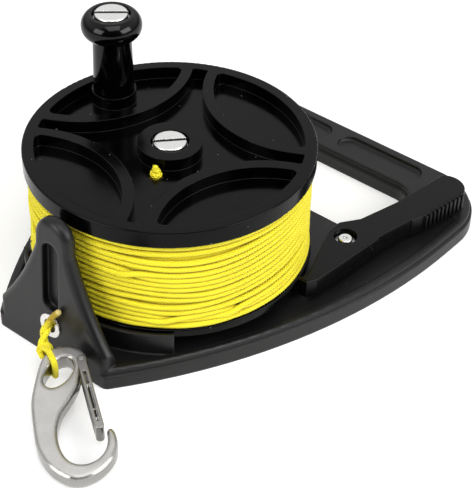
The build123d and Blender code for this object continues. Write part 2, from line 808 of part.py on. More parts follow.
def lever_outline():
    """The brake lever in plan, from its pivot, before the rim and the side notch are cut."""
    tail = spread(lever_tail_shares, lever_reach, lever_depth)
    end = spread(lever_end_shares, lever_reach, lever_depth)
    back = spread(lever_back_shares, lever_reach, lever_depth)
    loop = [end[1]] + back + [tail[0]]
    edges = [Line(a, b) for a, b in zip(tail, tail[1:])]
    edges.append(ThreePointArc(tail[-1], end[0], end[1]))
    edges += [Line(a, b) for a, b in zip(loop, loop[1:])]
    face = make_face(edges)
    soft = [tail[0], back[0], back[1], back[2]]
    corners = [v for v in face.vertices() if any(math.dist((v.X, v.Y), p) < fit_gap for p in soft)]
    return fillet(corners, lever_corner_radius)


def make_brake_lever():
    """Hollow moulded lever with a ribbed thumb face and a brake shoe."""
    height = lever_top - lever_bottom
    outline = lever_outline()
    notch = make_face(Polyline(*spread(lever_notch_shares, lever_reach, lever_depth), close=True))
    rim = Pos(-pivot_x, -pivot_y) * Circle(lower_flange_radius + shoe_gap)
    body = extrude(outline, height)
    body = fillet(body.edges().group_by(Axis.Z)[-1], lever_round)
    body -= Pos(0, 0, -overrun) * extrude(notch, height + overrun * 2)
    body -= Pos(0, 0, -overrun) * extrude(rim, height + overrun * 2)
    hollow = offset(outline - notch - rim, -lever_wall)
    body -= Pos(0, 0, -overrun) * extrude(hollow, height - lever_roof + overrun)
    body += disc(lever_hub_radius, height - lever_roof)
    cup_bottom = height - lever_counterbore_depth - lever_cup_floor
    body += disc(lever_cup_radius, height - cup_bottom - lever_roof + overrun, cup_bottom)
    body -= disc(lever_counterbore_radius, lever_counterbore_depth + overrun,
                 height - lever_counterbore_depth)
    body -= disc(lever_bush_radius + running_gap, height + overrun * 2, -overrun)
    a, b = spread(lever_tail_shares, lever_reach, lever_depth)[-2:]
    along = math.degrees(math.atan2(b[1] - a[1], b[0] - a[0]))
    for k in range(thumb_rib_count):
        share = rib_start_share + (rib_end_share - rib_start_share) * k / (thumb_rib_count - 1)
        x = a[0] + (b[0] - a[0]) * share
        y = a[1] + (b[1] - a[1]) * share
        rib = Pos(x, y, (height - thumb_rib_drop) / 2) * Rot(0, 0, along) * Box(
            thumb_rib_width, thumb_rib_depth * 2, height - thumb_rib_drop)
        body += rib
    return Pos(pivot_x, pivot_y, lever_bottom) * body


def lever_seat():
    """Height of the lever washer's underside."""
    return lever_top - lever_counterbore_depth + seat_gap


def make_lever_washer():
    """Washer in the lever's counterbore."""
    return tube_ring(lever_washer_radius, lever_screw_radius + running_gap, lever_washer_thickness,
                     lever_seat(), pivot_x, pivot_y)


def make_lever_screw():
    """Button-head screw with a hexagon socket."""
    seat = lever_seat() + lever_washer_thickness
    head = extrude(Circle(lever_screw_head_radius), lever_screw_head_height)
    head = fillet(head.edges().group_by(Axis.Z)[-1], head_edge_round)
    socket = extrude(RegularPolygon(lever_socket_radius, 6), lever_socket_depth + overrun)
    head -= Pos(0, 0, lever_screw_head_height - lever_socket_depth) * socket
    shank = seat - lever_insert_floor - seat_gap
    return Pos(pivot_x, pivot_y, seat) * (head + disc(lever_screw_radius, shank, -shank))


def make_lever_bush():
    """Metal sleeve that the lever turns on."""
    return tube_ring(lever_bush_radius, lever_screw_radius + running_gap, lever_seat() - lever_boss_top,
                     lever_boss_top, pivot_x, pivot_y)


def make_lever_insert():
    """Threaded insert in the frame under the lever."""
    return tube_ring(lever_insert_radius, lever_screw_radius + running_gap,
                     lever_boss_top - lever_insert_floor, lever_insert_floor, pivot_x, pivot_y)


def spring_foot_place():
    """Where the spring's foot goes into the frame."""
    return pivot_x + spring_mean_radius, pivot_y


def make_lever_spring():
    """Torsion spring: a coil, a foot down into the frame and an arm along the lever."""
    low = lever_bottom + spring_wire * spring_lift_share
    edges = []
    steps = math.ceil(spring_turns * 4)
    step = spring_turns / steps
    for k in range(steps):
        a, a_dir = winding_point(k * step, spring_mean_radius, low, spring_pitch)
        b, b_dir = winding_point((k + 1) * step, spring_mean_radius, low, spring_pitch)
        edges += biarc(a, a_dir, b, b_dir)
    start, start_dir = winding_point(0, spring_mean_radius, low, spring_pitch)
    coil = sweep(Plane(start, z_dir=start_dir) * Circle(spring_wire / 2), path=Wire(edges))
    foot_low = deck_height - spring_foot_depth + fit_gap * 2
    foot = disc(spring_wire / 2, low - foot_low, foot_low, spring_mean_radius, 0)
    knuckle = Pos(spring_mean_radius, 0, low) * Sphere(spring_wire / 2)
    end, end_dir = winding_point(spring_turns, spring_mean_radius, low, spring_pitch)
    arm = Plane(end, z_dir=end_dir) * extrude(Circle(spring_wire / 2), spring_leg)
    return Pos(pivot_x, pivot_y, 0) * (coil + foot + knuckle + arm)


def snap_place():
    """Turn the hook's own plane onto the surface: its length runs up from the bowl to the eye."""
    mid = snap_floor_gap + snap_thickness / 2
    return Pos(snap_x, snap_y, mid) * Rot(0, 0, snap_turn - 90) * Rot(snap_tilt, 0, 0)


def gate_place():
    """Place along the gate: from the hinge towards the tip, and the distance between them."""
    hinge, tip = spread([gate_hinge_share, gate_tip_share], snap_width, snap_length)
    angle = math.degrees(math.atan2(tip[1] - hinge[1], tip[0] - hinge[0]))
    return Pos(hinge[0], hinge[1], 0) * Rot(0, 0, angle), math.dist(hinge, tip)


def make_snap_body():
    """Cast hook with its eye, open at the gate."""
    outer = spread(snap_outer_shares, snap_width, snap_length)
    inner = spread(snap_inner_shares, snap_width, snap_length)
    outer_edge = Spline(*outer)
    inner_edge = Spline(*inner)
    face = make_face([outer_edge, Line(outer[-1], inner[0]), inner_edge, Line(inner[-1], outer[0])])
    face = fillet(face.vertices(), snap_corner_radius)
    body = extrude(face, snap_thickness / 2, both=True)
    flat = body.faces().filter_by(GeomType.PLANE).sort_by(SortBy.AREA)[-2:]
    body = fillet([e for f in flat for e in f.edges()], snap_round)
    eye_x, eye_y = spread([snap_eye_share], snap_width, snap_length)[0]
    eye = Pos(eye_x, eye_y) * Rot(0, 0, snap_eye_turn) * Ellipse(snap_eye_long / 2, snap_eye_short / 2)
    body -= extrude(eye, snap_thickness, both=True)
    at_gate, reach = gate_place()
    pin = at_gate * extrude(Circle(gate_pin_radius), snap_thickness, both=True)
    return snap_place() * (body - pin)


def make_snap_gate():
    """Folded sheet gate: two cheeks over the hook's shank, joined along the outer side."""
    at_gate, reach = gate_place()
    half = snap_thickness / 2 + gate_cheek_gap + gate_sheet
    shape = Pos(reach / 2, 0) * SlotCenterToCenter(reach, gate_width)
    bar = extrude(shape, half, both=True)
    inside = reach + gate_width - gate_web_width
    fold = Box(inside, gate_width, (half - gate_sheet) * 2)
    bar -= Pos(inside / 2 - gate_width, -gate_web_width, 0) * fold
    bar -= Pos(gate_web_start - gate_width * 2, 0, 0) * Box(gate_width * 4, gate_width * 2,
                                                            (half - gate_sheet) * 2)
    groove_length = reach - gate_web_start - gate_groove_end
    groove = Pos(gate_web_start + groove_length / 2, 0) * SlotOverall(groove_length, gate_groove_width)
    loop = Pos(reach - gate_eye_inset, 0) * SlotOverall(gate_eye_length, gate_groove_width)
    bar -= extrude(groove + loop, half + overrun, both=True)
    bar -= extrude(Circle(gate_pin_radius + running_gap), half + overrun, both=True)
    return snap_place() * at_gate * bar


def make_snap_pin():
    """Rivet that the gate turns on."""
    at_gate, reach = gate_place()
    half = snap_thickness / 2 + gate_cheek_gap + gate_sheet
    return snap_place() * at_gate * extrude(Circle(gate_pin_radius), half, both=True)


def knot_centre():
    """Centre of the knot beside the hook's eye."""
    return on_eye(knot_reach, -knot_sink)


def on_eye(reach, lift):
    """A point out from the hook's eye towards the knot, lifted from the hook's middle plane."""
    eye_x, eye_y = spread([snap_eye_share], snap_width, snap_length)[0]
    turn = math.radians(knot_angle)
    place = snap_place() * Pos(eye_x + reach * math.cos(turn), eye_y + reach * math.sin(turn), lift)
    return place.position


def from_knot(towards):
    """Where a strand that comes from the given point meets the knot."""
    centre = knot_centre()
    return centre + (towards - centre).normalized() * (knot_radius + knot_gap)


def make_line_knot():
    """Small round knot in the line."""
    return Pos(*knot_centre()) * Sphere(knot_radius)


def make_line_lead():
    """The line from the spool, over the guard lip, through the eyelet and on to the knot."""
    rear = eyelet_plane(lead_rear_depth).origin
    front = eyelet_plane(-seat_gap * 3).origin
    points = [Vector(*p) for p in lead_points] + [rear, front] + [Vector(*p) for p in lead_front_points]
    return cord_tube(points + [from_knot(points[-1])], line_diameter)


def make_line_tail():
    """The line's short end, lying up over the eyelet."""
    points = [Vector(*p) for p in tail_points]
    start = knot_centre() + Vector(*tail_rise).normalized() * (knot_radius + knot_gap)
    return cord_tube([start] + points, line_diameter)


def make_line_loop():
    """The line's loop through the hook's eye."""
    half = snap_thickness / 2
    inner = knot_eye_radius() - loop_eye_gap
    corners = [(loop_outer_reach, half + loop_rise), (inner + loop_corner, half + loop_lift),
               (inner, half + loop_lift - loop_corner), (inner, loop_corner - half - loop_lift),
               (inner + loop_corner, -half - loop_lift), (loop_under_reach, -half - loop_lift)]
    points = [on_eye(reach, lift) for reach, lift in corners]
    return cord_tube([from_knot(points[0])] + points + [from_knot(points[-1])], line_diameter)


def knot_eye_radius():
    """Distance from the eye's centre to its edge, towards the knot."""
    turn = math.radians(knot_angle - snap_eye_turn)
    a = snap_eye_long / 2
    b = snap_eye_short / 2
    return a * b / math.hypot(b * math.cos(turn), a * math.sin(turn))


nodes = {
    "frame": make_frame,
    "guide_eyelet": make_eyelet,
    "guide_eyelet_washer": make_eyelet_washer,
    "spool_upper": make_spool_upper,
    "spool_lower": make_spool_lower,
    "spool_flange_screws": make_flange_screws,
    "axle_bolt": make_axle_bolt,
    "axle_washer": make_axle_washer,
    "axle_bush": make_axle_bush,
    "axle_thrust_washer": make_thrust_washer,
    "axle_insert": make_axle_insert,
    "knob_sleeve": make_knob_sleeve,
    "knob_head": make_knob_head,
    "knob_screw": make_knob_screw,
    "knob_washer": make_knob_washer,
    "knob_bush": make_knob_bush,
    "knob_insert": make_knob_insert,
    "brake_lever": make_brake_lever,
    "lever_screw": make_lever_screw,
    "lever_washer": make_lever_washer,
    "lever_bush": make_lever_bush,
    "lever_insert": make_lever_insert,
    "lever_spring": make_lever_spring,
    "line_core": make_line_core,
    "line_winding": make_line_winding,
    "line_anchor": make_line_anchor,
    "line_lead": make_line_lead,
    "line_loop": make_line_loop,
    "line_tail": make_line_tail,
    "line_knot": make_line_knot,
    "snap_body": make_snap_body,
    "snap_gate": make_snap_gate,
    "snap_pin": make_snap_pin,
}

os.makedirs("parts", exist_ok=True)
for name, make in nodes.items():
    shape = make()
    if isinstance(shape, list):
        shape = Compound(children=shape)
    export_step(shape, os.path.join("parts", name + ".step"))
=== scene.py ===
import math

import bmesh
import bpy
import numpy as np
from mathutils import Matrix, Vector


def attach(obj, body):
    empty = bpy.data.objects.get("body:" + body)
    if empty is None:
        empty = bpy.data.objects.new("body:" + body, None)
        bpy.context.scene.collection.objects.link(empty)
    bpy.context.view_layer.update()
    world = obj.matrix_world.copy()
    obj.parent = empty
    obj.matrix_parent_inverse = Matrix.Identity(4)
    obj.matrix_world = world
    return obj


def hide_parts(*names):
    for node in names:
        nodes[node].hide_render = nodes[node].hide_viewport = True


# Dive reel: moulded black frame and spool, yellow braided line, nickel eyelet and screws,
# cast steel snap hook. The scene is in metres, in the reel's own frame. The camera's place, the
# line's routes and layers and the gate's leaf are written in millimetres, and MM makes them metres.

MM = 0.001

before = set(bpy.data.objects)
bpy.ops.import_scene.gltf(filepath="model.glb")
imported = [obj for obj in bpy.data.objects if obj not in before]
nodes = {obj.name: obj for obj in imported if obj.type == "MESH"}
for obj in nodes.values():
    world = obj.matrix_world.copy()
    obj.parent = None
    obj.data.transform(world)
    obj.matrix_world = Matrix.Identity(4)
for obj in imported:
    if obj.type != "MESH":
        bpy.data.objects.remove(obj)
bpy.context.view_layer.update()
scene = bpy.context.scene

# Camera: the photograph's place, direction and angle of view
CAMERA_PLACE = (-347.48, -317.3, 394.64)
CAMERA_RIGHT = (0.64302, -0.76567, 0.01684)
CAMERA_UP = (0.47408, 0.41522, 0.77643)
CAMERA_FORWARD = (0.60148, 0.49127, -0.62998)
CAMERA_SENSOR = 36.0
CAMERA_LENS = 113.978

# Line
LINE_RADIUS = 1.1 * MM
BRAID_HALF_PITCH = 0.62 * MM
BRAID_BUMPS = 6
BRAID_RELIEF = 0.11 * MM
LINE_SIDES = 24
SPLINE_STEPS = 24
RINGS_PER_BUMP = 3
END_RINGS = 3
END_BULGE = 0.6

# The free line's route, in millimetres. It follows the corner points of the line's solids, most of
# them moved and others added, with the way through the knot between them
LEAD_ROUTE = [(-40.27, 34.76, 19.4), (-42.9, 31.8, 19.6), (-48.6, 22.7, 20.0), (-57.3, 8.6, 20.6),
              (-58.3, 2.9, 20.0), (-58.35, 0.0, 17.9), (-58.2, 0.0, 14.3), (-66.0, 0.0, 14.85),
              (-67.7, -0.6, 15.6), (-68.9, -2.0, 17.3), (-70.4, -3.4, 17.5), (-72.1, -3.6, 16.2),
              (-73.8, -3.3, 14.5), (-74.5, -3.5, 12.9)]
KNOT_FIRST_PASS = [(-74.8, -5.0, 12.4)]
LOOP_ROUTE = [(-76.2, -8.5, 15.9), (-78.53, -13.93, 15.8), (-79.0, -15.31, 14.05),
              (-78.4, -14.7, 7.6), (-77.31, -12.95, 6.1), (-75.36, -8.47, 6.7)]
KNOT_SECOND_PASS = [(-75.2, -6.9, 9.4), (-74.1, -5.6, 11.4)]
TAIL_ROUTE = [(-73.1, -5.0, 13.1), (-72.0, -3.2, 13.7), (-71.7, -1.9, 15.2), (-71.4, -2.0, 17.7),
              (-69.9, -2.9, 19.9), (-67.9, -2.7, 20.9), (-67.0, -3.8, 22.7), (-66.75, -5.8, 25.1)]

# The knot: where it sits, and the way along it towards the hook
KNOT_CENTRE = Vector((-74.45, -5.45, 11.5)) * MM
KNOT_AXIS = Vector((-0.5, -0.66, 0.12)).normalized()
KNOT_STRAND_RADIUS = 0.95 * MM


def points_m(route):
    """Points in metres."""
    return [Vector(p) * MM for p in route]


def link(obj):
    scene.collection.objects.link(obj)
    return obj


def make_camera():
    data = bpy.data.cameras.new("camera")
    data.sensor_fit = "AUTO"
    data.sensor_width = CAMERA_SENSOR
    data.lens = CAMERA_LENS
    data.clip_start = 0.01
    data.clip_end = 20.0
    camera = link(bpy.data.objects.new("camera", data))
    right, up, forward = Vector(CAMERA_RIGHT), Vector(CAMERA_UP), Vector(CAMERA_FORWARD)
    turn = Matrix((right, up, -forward)).transposed()
    camera.matrix_world = Matrix.Translation(Vector(CAMERA_PLACE) * MM) @ turn.to_4x4()
    scene.camera = camera


def spline_points(name, route):
    """Points along the smooth curve that has the route's points as its control points."""
    data = bpy.data.curves.new(name + "_line", "CURVE")
    data.dimensions = "3D"
    data.resolution_u = SPLINE_STEPS
    spline = data.splines.new("NURBS")
    spline.points.add(len(route) - 1)
    for point, place in zip(spline.points, route):
        point.co = (*place, 1.0)
    spline.use_endpoint_u = True
    spline.order_u = 3
    holder = bpy.data.objects.new(name + "_line", data)
    mesh = bpy.data.meshes.new_from_object(holder)
    line = np.array([v.co for v in mesh.vertices])
    bpy.data.meshes.remove(mesh)
    bpy.data.objects.remove(holder)
    bpy.data.curves.remove(data)
    return line


def respaced(line, step):
    """The line again with even steps."""
    gaps = np.linalg.norm(np.diff(line, axis=0), axis=1)
    along = np.concatenate([[0], np.cumsum(gaps)])
    at = np.linspace(0, along[-1], int(math.ceil(along[-1] / step)) + 1)
    return np.stack([np.interp(at, along, line[:, k]) for k in range(3)], axis=1)


def carried_frames(line):
    """Directions across the line that turn as little as possible along it."""
    along = np.gradient(line, axis=0)
    along /= np.linalg.norm(along, axis=1)[:, None]
    side = np.cross(along[0], (0.3, 0.2, 1.0))
    side /= np.linalg.norm(side)
    sides = []
    for t in along:
        side = side - t * side.dot(t)
        side /= np.linalg.norm(side)
        sides.append(side)
    sides = np.array(sides)
    return along, sides, np.cross(along, sides)


def braided_tube(name, line, across, radius, sides, relief):
    """A tube of braided line: rings with staggered bumps, and rounded ends."""
    along, first, second = across
    gaps = np.linalg.norm(np.diff(line, axis=0), axis=1)
    travelled = np.concatenate([[0], np.cumsum(gaps)])
    turn = 2 * np.pi * np.arange(sides) / sides
    bump = np.cos(np.pi * travelled / BRAID_HALF_PITCH)[:, None] * np.cos(BRAID_BUMPS * turn)[None, :]
    size = radius + np.broadcast_to(np.asarray(relief), len(line))[:, None] * bump
    rings = (line[:, None, :] + size[..., None] * (np.cos(turn)[None, :, None] * first[:, None, :]
                                                   + np.sin(turn)[None, :, None] * second[:, None, :]))
    verts = list(rings.reshape(-1, 3))
    faces, face_uvs = [], []
    for i in range(len(line) - 1):
        for j in range(sides):
            k = (j + 1) % sides
            faces.append((i * sides + j, i * sides + k, (i + 1) * sides + k, (i + 1) * sides + j))
            a, b = travelled[i] / MM, travelled[i + 1] / MM
            face_uvs += [(a, j / sides), (a, (j + 1) / sides), (b, (j + 1) / sides), (b, j / sides)]
    for end, outward in ((0, -along[0]), (len(line) - 1, along[-1])):
        previous = [end * sides + j for j in range(sides)]
        for level in range(1, END_RINGS + 1):
            lean = math.pi / 2 * level / END_RINGS
            if level < END_RINGS:
                ring = (line[end] + outward * radius * math.sin(lean) * END_BULGE
                        + (rings[end] - line[end]) * math.cos(lean))
                now = list(range(len(verts), len(verts) + sides))
                verts += list(ring)
            else:
                now = [len(verts)] * sides
                verts.append(line[end] + outward * radius * END_BULGE)
            for j in range(sides):
                k = (j + 1) % sides
                loop = [previous[j], previous[k], now[k], now[j]]
                if level == END_RINGS:
                    loop = loop[:3]
                if end == 0:
                    loop = loop[::-1]
                faces.append(tuple(loop))
                face_uvs += [(travelled[end] / MM, j / sides)] * len(loop)
            previous = now
    mesh = bpy.data.meshes.new(name)
    mesh.from_pydata([tuple(v) for v in verts], [], faces)
    layer = mesh.uv_layers.new(name="UVMap")
    layer.data.foreach_set("uv", np.array(face_uvs, np.float32).ravel())
    mesh.polygons.foreach_set("use_smooth", [True] * len(mesh.polygons))
    mesh.update()
    return link(bpy.data.objects.new(name, mesh))


def make_free_line():
    """The line from the winding through the eyelet, the knot and the hook's eye, and its short tail."""
    route = points_m(LEAD_ROUTE + KNOT_FIRST_PASS + LOOP_ROUTE + KNOT_SECOND_PASS + TAIL_ROUTE)
    line = respaced(spline_points("line_free", route), BRAID_HALF_PITCH / RINGS_PER_BUMP)
    piece = braided_tube("line_free", line, carried_frames(line), LINE_RADIUS, LINE_SIDES, BRAID_RELIEF)
    return piece, line


def make_knot():
    """More than a turn and a half over the strands that go through, and a short bight along them."""
    axis = KNOT_AXIS
    side = axis.cross(Vector((0, 0, 1))).normalized()
    top = side.cross(axis)
    # Millimetres along the axis, millimetres away from it, degrees around it
    plan = [(-0.2, 1.2, 250), (-0.7, 1.9, 215), (-1.0, 2.25, 180), (-1.0, 2.3, 140), (-0.8, 2.3, 100),
            (-0.7, 2.3, 60), (-0.6, 2.3, 20), (-0.5, 2.2, -20), (-0.2, 1.9, -70), (0.3, 1.8, -130),
            (0.5, 2.1, -180), (0.4, 2.2, -225), (0.7, 2.1, -270), (1.3, 2.0, -315), (2.0, 2.0, -345),
            (3.1, 1.8, -350), (3.4, 1.2, -380), (2.4, 1.0, -430), (1.0, 0.9, -450)]
    route = []
    for reach, radius, degrees in plan:
        a = math.radians(degrees)
        route.append(KNOT_CENTRE + (axis * reach + (side * math.cos(a) + top * math.sin(a)) * radius) * MM)
    line = respaced(spline_points("line_knot_turns", route), BRAID_HALF_PITCH / RINGS_PER_BUMP)
    return braided_tube("line_knot_turns", line, carried_frames(line), KNOT_STRAND_RADIUS, LINE_SIDES,
                        BRAID_RELIEF)


make_camera()
free_line, free_points = make_free_line()
knot = make_knot()
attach(free_line, "reel_frame")
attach(knot, "reel_frame")
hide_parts("line_lead", "line_loop", "line_tail")
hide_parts("line_knot")

# Winding: an inner layer wound up, an outer layer wound down over it, then one last turn that
# climbs to where the free line leaves
WIND_SLICES = 160
WIND_END_ANGLE = math.atan2(LEAD_ROUTE[0][1], LEAD_ROUTE[0][0])
WIND_TURNS_UP = 14
WIND_TURNS_DOWN = 14
WIND_TURNS_LAST = 1
WIND_LOW = 17.85
WIND_HIGH = 54.0
WIND_INNER_RADIUS = 50.55
WIND_OUTER_RADIUS = 52.4
WIND_END_HEIGHT = LEAD_ROUTE[0][2]
WIND_END_RADIUS = 53.2
WIND_LAST_RADIUS = 52.9
WIND_PACKING = 2.16
WIND_ROUNDS = 260
WIND_FREE_ROUNDS = 60
WIND_SEED = 7
WIND_SIDES = 12
WANDER_WAVES = 7
WANDER_SIZE = 1.25
WANDER_FALL = 0.7
WANDER_MARGIN = 3.0
CLIMB_START = 0.93
CLIMB_SPAN = 0.07
LAST_RISE_RATE = 6
PUSH_SHARE = 0.4
HEIGHT_HOLD = 0.02
RADIUS_HOLD = 0.04
RADIUS_LIFT = 0.1
SMOOTH_SHARE = 0.2
INNER_SINK = 0.2
OUTER_RING_STEP = BRAID_HALF_PITCH * 0.96 / MM
INNER_RING_STEP = 1.9


def wave(angle, height):
    """How the turns rise and dip around the spool, by height, in millimetres."""
    degrees = np.degrees(angle) % 360
    middle = np.sin(np.pi * np.clip((height - 19) / 36, 0, 1))
    lower = np.clip((height - 17) / 6, 0, 1) * np.clip((34 - height) / 8, 0, 1)

    def hill(centre, width):
        away = (degrees - centre + 180) % 360 - 180
        return np.exp(-(away / width) ** 2)

    rise = middle * (5.6 * hill(294, 30) - 2.8 * hill(231, 19) + 1.6 * hill(203, 14) - 2.6 * hill(20, 30)
                     + 1.9 * hill(75, 22) - 2.2 * hill(140, 26))
    rise += lower * (1.5 * hill(256, 15) - 1.3 * hill(225, 16) - 1.1 * hill(280, 14) + 1.6 * hill(330, 20)
                     - 1.5 * hill(60, 24) + 1.3 * hill(120, 20))
    return rise


def wound_line():
    """Angle, height and radius along the wound line.

    Turns nearer than WIND_PACKING are pushed apart. Most still overlap a little.
    """
    turns = WIND_TURNS_UP + WIND_TURNS_DOWN + WIND_TURNS_LAST
    count = turns * WIND_SLICES
    at = np.arange(count) / WIND_SLICES
    angle = WIND_END_ANGLE + 2 * np.pi * at
    last = np.clip(at - WIND_TURNS_UP - WIND_TURNS_DOWN, 0, 1)
    height = np.interp(at, [0, WIND_TURNS_UP, WIND_TURNS_UP + WIND_TURNS_DOWN, turns],
                       [WIND_LOW, WIND_HIGH, WIND_LOW, WIND_END_HEIGHT])
    outer = at >= WIND_TURNS_UP
    draw = np.random.default_rng(WIND_SEED)
    loose = np.zeros(count)
    for k in range(1, WANDER_WAVES + 1):
        swing = draw.normal(0, 1, turns + 2)
        shift = draw.uniform(0, 2 * np.pi, turns + 2)
        size = np.interp(at, np.arange(turns + 2), swing)
        phase = np.interp(at, np.arange(turns + 2), shift)
        loose += WANDER_SIZE / k ** WANDER_FALL * size * np.sin(k * angle + phase)
    ends = (np.clip((height - WIND_LOW) / WANDER_MARGIN, 0, 1)
            * np.clip((WIND_HIGH - height) / WANDER_MARGIN, 0, 1))
    wanted = height + np.where(outer, (wave(angle, height) + loose) * ends * (1 - last), 0)
    radius_wanted = np.where(outer, WIND_OUTER_RADIUS, WIND_INNER_RADIUS)
    rise = np.minimum(1, last * LAST_RISE_RATE)
    radius_wanted = radius_wanted + (WIND_LAST_RADIUS - WIND_OUTER_RADIUS) * rise
    climb = np.clip((last - CLIMB_START) / CLIMB_SPAN, 0, 1)
    radius_wanted = radius_wanted + (WIND_END_RADIUS - WIND_LAST_RADIUS) * climb * climb * (3 - 2 * climb)
    z, r = wanted.copy(), radius_wanted.copy()
    shape = (turns, WIND_SLICES)
    for step in range(WIND_ROUNDS):
        zz, rr = z.reshape(shape), r.reshape(shape)
        push_z, push_r = np.zeros(shape), np.zeros(shape)
        for apart in range(1, turns):
            dz, dr = zz[apart:] - zz[:-apart], rr[apart:] - rr[:-apart]
            far = np.sqrt(dz * dz + dr * dr) + 1e-6
            deep = np.clip(WIND_PACKING - far, 0, None) * PUSH_SHARE
            push_z[apart:] += deep * dz / far
            push_z[:-apart] -= deep * dz / far
            push_r[apart:] += deep * dr / far
            push_r[:-apart] -= deep * dr / far
        z, r = z + push_z.ravel(), r + push_r.ravel()
        hold = HEIGHT_HOLD if step < WIND_ROUNDS - WIND_FREE_ROUNDS else 0.0
        z += hold * (wanted - z)
        r += RADIUS_LIFT * (radius_wanted - r) * (r < radius_wanted) + RADIUS_HOLD * (radius_wanted - r)
        z[1:-1] += SMOOTH_SHARE * (z[2:] + z[:-2] - 2 * z[1:-1])
        r[1:-1] += SMOOTH_SHARE * (r[2:] + r[:-2] - 2 * r[1:-1])
        z = np.clip(z, WIND_LOW, WIND_HIGH)
        r = np.maximum(r, WIND_INNER_RADIUS - INNER_SINK)
        z[-3:], r[-3:] = WIND_END_HEIGHT, WIND_END_RADIUS
    return angle, z, r, outer


def make_winding():
    angle, z, r, outer = wound_line()
    size = np.where(outer, OUTER_RING_STEP, INNER_RING_STEP)
    reach = 2 * np.pi / WIND_SLICES * r
    travelled = np.concatenate([[0], np.cumsum(reach[:-1] / size[:-1])])
    rings = int(travelled[-1])
    at = np.linspace(0, travelled[-1], rings)
    index = np.interp(at, travelled, np.arange(len(angle)))
    a = np.interp(index, np.arange(len(angle)), angle)
    radius = np.interp(index, np.arange(len(angle)), r)
    height = np.interp(index, np.arange(len(angle)), z)
    line = np.stack([radius * np.cos(a), radius * np.sin(a), height], axis=1) * MM
    relief = np.where(np.interp(index, np.arange(len(angle)), outer.astype(float)) > 0.5, BRAID_RELIEF, 0)
    along = np.gradient(line, axis=0)
    along /= np.linalg.norm(along, axis=1)[:, None]
    outward = np.stack([np.cos(a), np.sin(a), np.zeros(len(a))], axis=1)
    outward -= along * (outward * along).sum(1)[:, None]
    outward /= np.linalg.norm(outward, axis=1)[:, None]
    return braided_tube("line_turns", line, (along, outward, np.cross(along, outward)), LINE_RADIUS,
                        WIND_SIDES, relief)


winding = make_winding()
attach(winding, "spool")
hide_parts("line_winding")

# Deeper layers of line: a ridged drum that closes the space behind the turns
DEEP_INNER_RADIUS = 10.35
DEEP_OUTER_RADIUS = 49.3
DEEP_RIDGE = 0.55
DEEP_RIDGES = 17
DEEP_LOW = 16.75
DEEP_HIGH = 55.1
DEEP_STEPS_PER_RIDGE = 6
DEEP_SEGMENTS = 120


def lathe(name, profile, segments):
    """A closed mesh turned about the upright axis from (radius, height) points in millimetres."""
    count = len(profile)
    verts, faces = [], []
    for i in range(segments):
        a = 2 * math.pi * i / segments
        for radius, height in profile:
            verts.append((radius * math.cos(a) * MM, radius * math.sin(a) * MM, height * MM))
    for i in range(segments):
        k = (i + 1) % segments
        for j in range(count):
            n = (j + 1) % count
            faces.append((i * count + j, k * count + j, k * count + n, i * count + n))
    mesh = bpy.data.meshes.new(name)
    mesh.from_pydata(verts, [], faces)
    mesh.polygons.foreach_set("use_smooth", [True] * len(mesh.polygons))
    mesh.update()
    return link(bpy.data.objects.new(name, mesh))


def make_deep_layers():
    steps = DEEP_RIDGES * DEEP_STEPS_PER_RIDGE
    profile = [(DEEP_INNER_RADIUS, DEEP_LOW)]
    for i in range(steps + 1):
        share = i / steps
        ridge = abs(math.sin(math.pi * DEEP_RIDGES * share))
        profile.append((DEEP_OUTER_RADIUS + DEEP_RIDGE * ridge, DEEP_LOW + (DEEP_HIGH - DEEP_LOW) * share))
    profile.append((DEEP_INNER_RADIUS, DEEP_HIGH))
    return lathe("line_deep_layers", profile, DEEP_SEGMENTS)


deep = make_deep_layers()
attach(deep, "spool")
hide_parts("line_core")

# The line's inner end: up through the upper flange and folded into a small knot
ANCHOR_PLACE = Vector((-14.5, -6.01, 57.2))
ANCHOR_SQUEEZE = 0.95


def make_anchor():
    plan = [(0.0, 0.0, -1.9), (0.0, 0.0, -0.6), (0.8, 0.2, 0.1), (1.3, -0.7, 0.3), (0.4, -1.4, 0.5),
            (-1.1, -1.0, 0.6), (-1.3, 0.5, 0.8), (-0.1, 1.3, 1.0), (1.1, 0.6, 1.4), (0.8, -0.6, 1.9),
            (-0.3, -0.6, 2.1), (-0.3, 0.3, 2.3), (0.2, 0.2, 3.7)]
    route = [(ANCHOR_PLACE + Vector(p)) * MM for p in plan]
    line = respaced(spline_points("line_anchor_knot", route), BRAID_HALF_PITCH / RINGS_PER_BUMP)
    return braided_tube("line_anchor_knot", line, carried_frames(line), LINE_RADIUS * ANCHOR_SQUEEZE,
                        LINE_SIDES, BRAID_RELIEF)


anchor = make_anchor()
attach(anchor, "spool")
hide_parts("line_anchor")

# The gate's leaf spring, seen through the slot in its cheek
GATE_HINGE = np.array((-70.909, -20.552, 11.071))
GATE_AXIS = np.array((0.119547, 0.096565, -0.988121))
LEAF_START = 10.5
LEAF_END_GAP = 8.0
LEAF_HALF_WIDTH = 0.62
LEAF_HALF_DEPTH = 0.45
LEAF_BOW = 0.35
LEAF_STEPS = 24
LEAF_SIDES = 8
GATE_TIP_REACH = 0.6


def squared(value):
    """Pulls a ring's cosine or sine outward, so that the ring is a rounded square."""
    return math.copysign(abs(value) ** 0.5, value)


